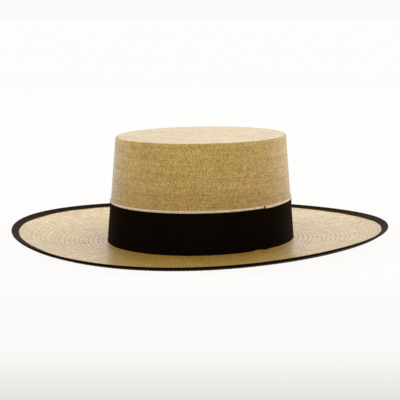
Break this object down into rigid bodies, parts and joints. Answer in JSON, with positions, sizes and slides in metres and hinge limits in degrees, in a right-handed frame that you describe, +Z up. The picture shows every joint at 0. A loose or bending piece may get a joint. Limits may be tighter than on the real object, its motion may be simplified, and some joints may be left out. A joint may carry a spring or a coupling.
{
  "type": "cordobes hat",
  "caption": "Flat-topped, wide-brimmed cordobes hat of woven straw, with a black ribbon band, a cream piping above it and a black ribbon bound round the brim's edge.",
  "frame": {"origin": "middle of the head opening in plan, on the surface that the hat rests on, which is the bottom centre of its box", "axes": "+Z up along the crown, -Y towards the front of the hat, +X towards the wearer's left"},
  "size_m": [0.3538, 0.3884, 0.1],
  "materials": {
    "straw": "fine herringbone weave of natural straw, satin",
    "band_ribbon": "black grosgrain ribbon, matt",
    "binding_ribbon": "black grosgrain ribbon with fine cross ribs and a slight sheen",
    "piping": "cream woven tape"
  },
  "bodies": {
    "root": {"crown_and_brim": "straw", "brim_binding": "binding_ribbon", "hat_band": "band_ribbon", "band_piping": "piping"}
  },
  "joints": []
}
